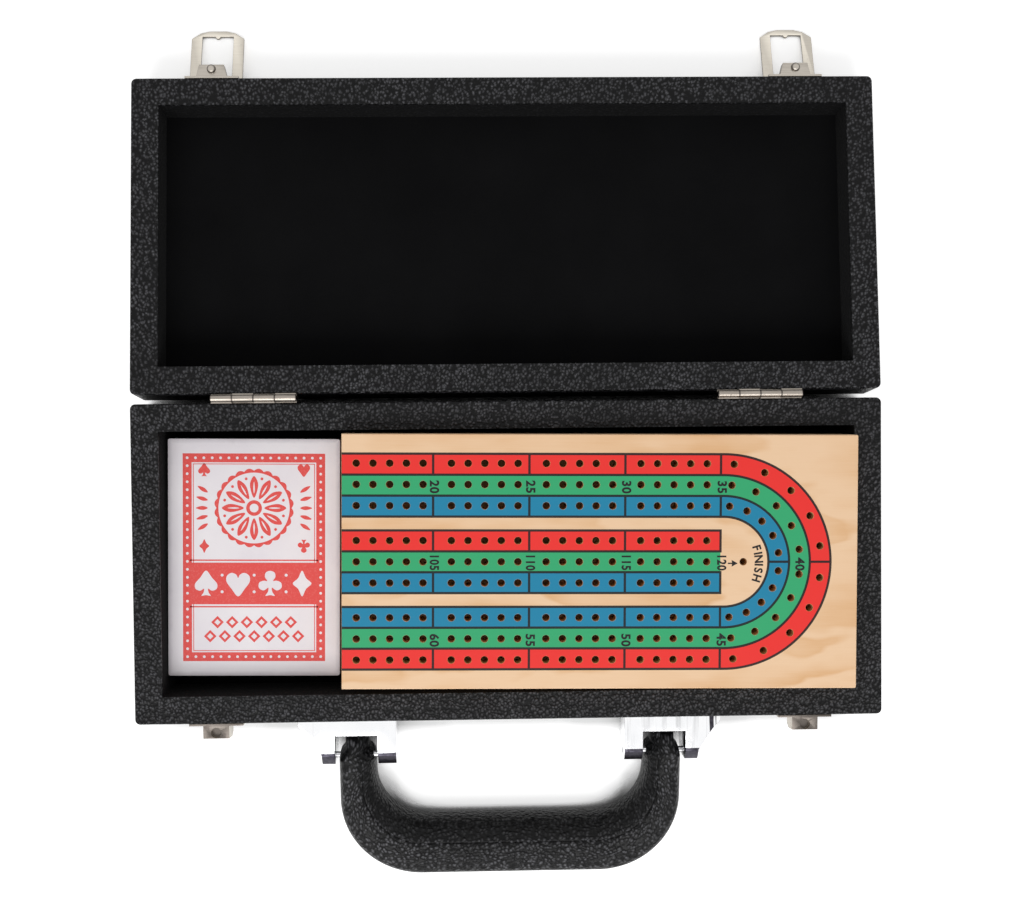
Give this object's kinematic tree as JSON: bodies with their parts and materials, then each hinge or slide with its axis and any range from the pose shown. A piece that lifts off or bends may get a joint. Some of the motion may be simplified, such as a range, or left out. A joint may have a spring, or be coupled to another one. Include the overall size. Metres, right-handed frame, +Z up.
{
  "type": "cribbage box",
  "caption": "Black leatherette carrying case, lying open, that holds a folding cribbage board and a boxed deck of cards.",
  "frame": {"origin": "the middle of the base's underside, on the table", "axes": "+X along the case to the right, +Y from the handle side to the open lid, +Z up"},
  "size_m": [0.2834, 0.3313, 0.0424],
  "materials": {
    "leatherette": "pebble grain, satin",
    "plywood": "raw",
    "lining_cloth": "matt",
    "nickel": "satin",
    "chrome_plate": "polished",
    "pine": "clear lacquer over printed tracks",
    "brass_plate": "satin",
    "red_plastic": "gloss",
    "green_plastic": "gloss",
    "blue_plastic": "gloss",
    "printed_card": "coated, printed",
    "card_stock": "coated",
    "steel": "mill finish"
  },
  "bodies": {
    "base": {"base_floor_panel": "plywood", "base_front_panel": "plywood", "base_hinge_rivets": "nickel", "base_latch_rivets": "nickel", "base_left_panel": "plywood", "base_lining": "lining_cloth", "base_rear_panel": "plywood", "base_right_panel": "plywood", "base_side_cover": "leatherette", "base_underside_cover": "leatherette", "bracket_screws": "chrome_plate", "left_handle_bracket": "chrome_plate", "left_handle_pin": "chrome_plate", "left_hinge_base_leaf": "nickel", "left_hinge_pin": "nickel", "left_latch_catch": "nickel", "right_handle_bracket": "chrome_plate", "right_handle_pin": "chrome_plate", "right_hinge_base_leaf": "nickel", "right_hinge_pin": "nickel", "right_latch_catch": "nickel"},
    "lid": {"left_hinge_lid_leaf": "nickel", "left_latch_pin": "nickel", "left_latch_plate": "nickel", "lid_front_panel": "plywood", "lid_hinge_rivets": "nickel", "lid_latch_rivets": "nickel", "lid_left_panel": "plywood", "lid_lining": "lining_cloth", "lid_rear_panel": "plywood", "lid_right_panel": "plywood", "lid_side_cover": "leatherette", "lid_top_cover": "leatherette", "lid_top_panel": "plywood", "right_hinge_lid_leaf": "nickel", "right_latch_pin": "nickel", "right_latch_plate": "nickel"},
    "left_loop": {"left_latch_loop": "nickel"},
    "right_loop": {"right_latch_loop": "nickel"},
    "handle": {"handle_core": "steel", "handle_grip": "leatherette"},
    "board_lower": {"blue_pegs": "blue_plastic", "board_lower_half": "pine", "fold_lower_screws": "brass_plate", "front_fold_lower_leaf": "brass_plate", "front_fold_pin": "brass_plate", "green_pegs": "green_plastic", "rear_fold_lower_leaf": "brass_plate", "rear_fold_pin": "brass_plate", "red_pegs": "red_plastic"},
    "board_upper": {"board_upper_half": "pine", "fold_upper_screws": "brass_plate", "front_fold_upper_leaf": "brass_plate", "rear_fold_upper_leaf": "brass_plate"},
    "card_packet": {"card_box": "printed_card", "playing_cards": "card_stock"}
  },
  "joints": [
    {"name": "lid_hinge", "type": "hinge", "parent": "base", "child": "lid", "pos_m": [0, 0.06223, 0.0342], "axis": [1, 0, 0], "range_deg": [0, 186.03]},
    {"name": "left_latch", "type": "hinge", "parent": "lid", "child": "left_loop", "pos_m": [-0.1113, 0.18499, 0.00896], "axis": [1, 0, 0], "range_deg": [-74.16, 105.83]},
    {"name": "right_latch", "type": "hinge", "parent": "lid", "child": "right_loop", "pos_m": [0.1121, 0.18499, 0.00896], "axis": [1, 0, 0], "range_deg": [-74.16, 105.83]},
    {"name": "handle_swing", "type": "hinge", "parent": "base", "child": "handle", "pos_m": [0, -0.0764, 0.017], "axis": [-1, 0, 0], "range_deg": [-78.35, 101.64]},
    {"name": "board_lift", "type": "slide", "parent": "base", "child": "board_lower", "axis": [0, 0, -1], "range_m": [-0.07, 0]},
    {"name": "board_fold", "type": "hinge", "parent": "board_lower", "child": "board_upper", "pos_m": [-0.06345, -0.04644, 0.0242], "axis": [0.0122, 0.9999, 0], "range_deg": [-180, 0]},
    {"name": "card_box_lift", "type": "slide", "parent": "base", "child": "card_packet", "axis": [0, 0, -1], "range_m": [-0.04, 0]}
  ],
  "couplings": [
    {"joint": "board_lift", "follows": "board_fold", "m_per_rad": 0.022282}
  ]
}
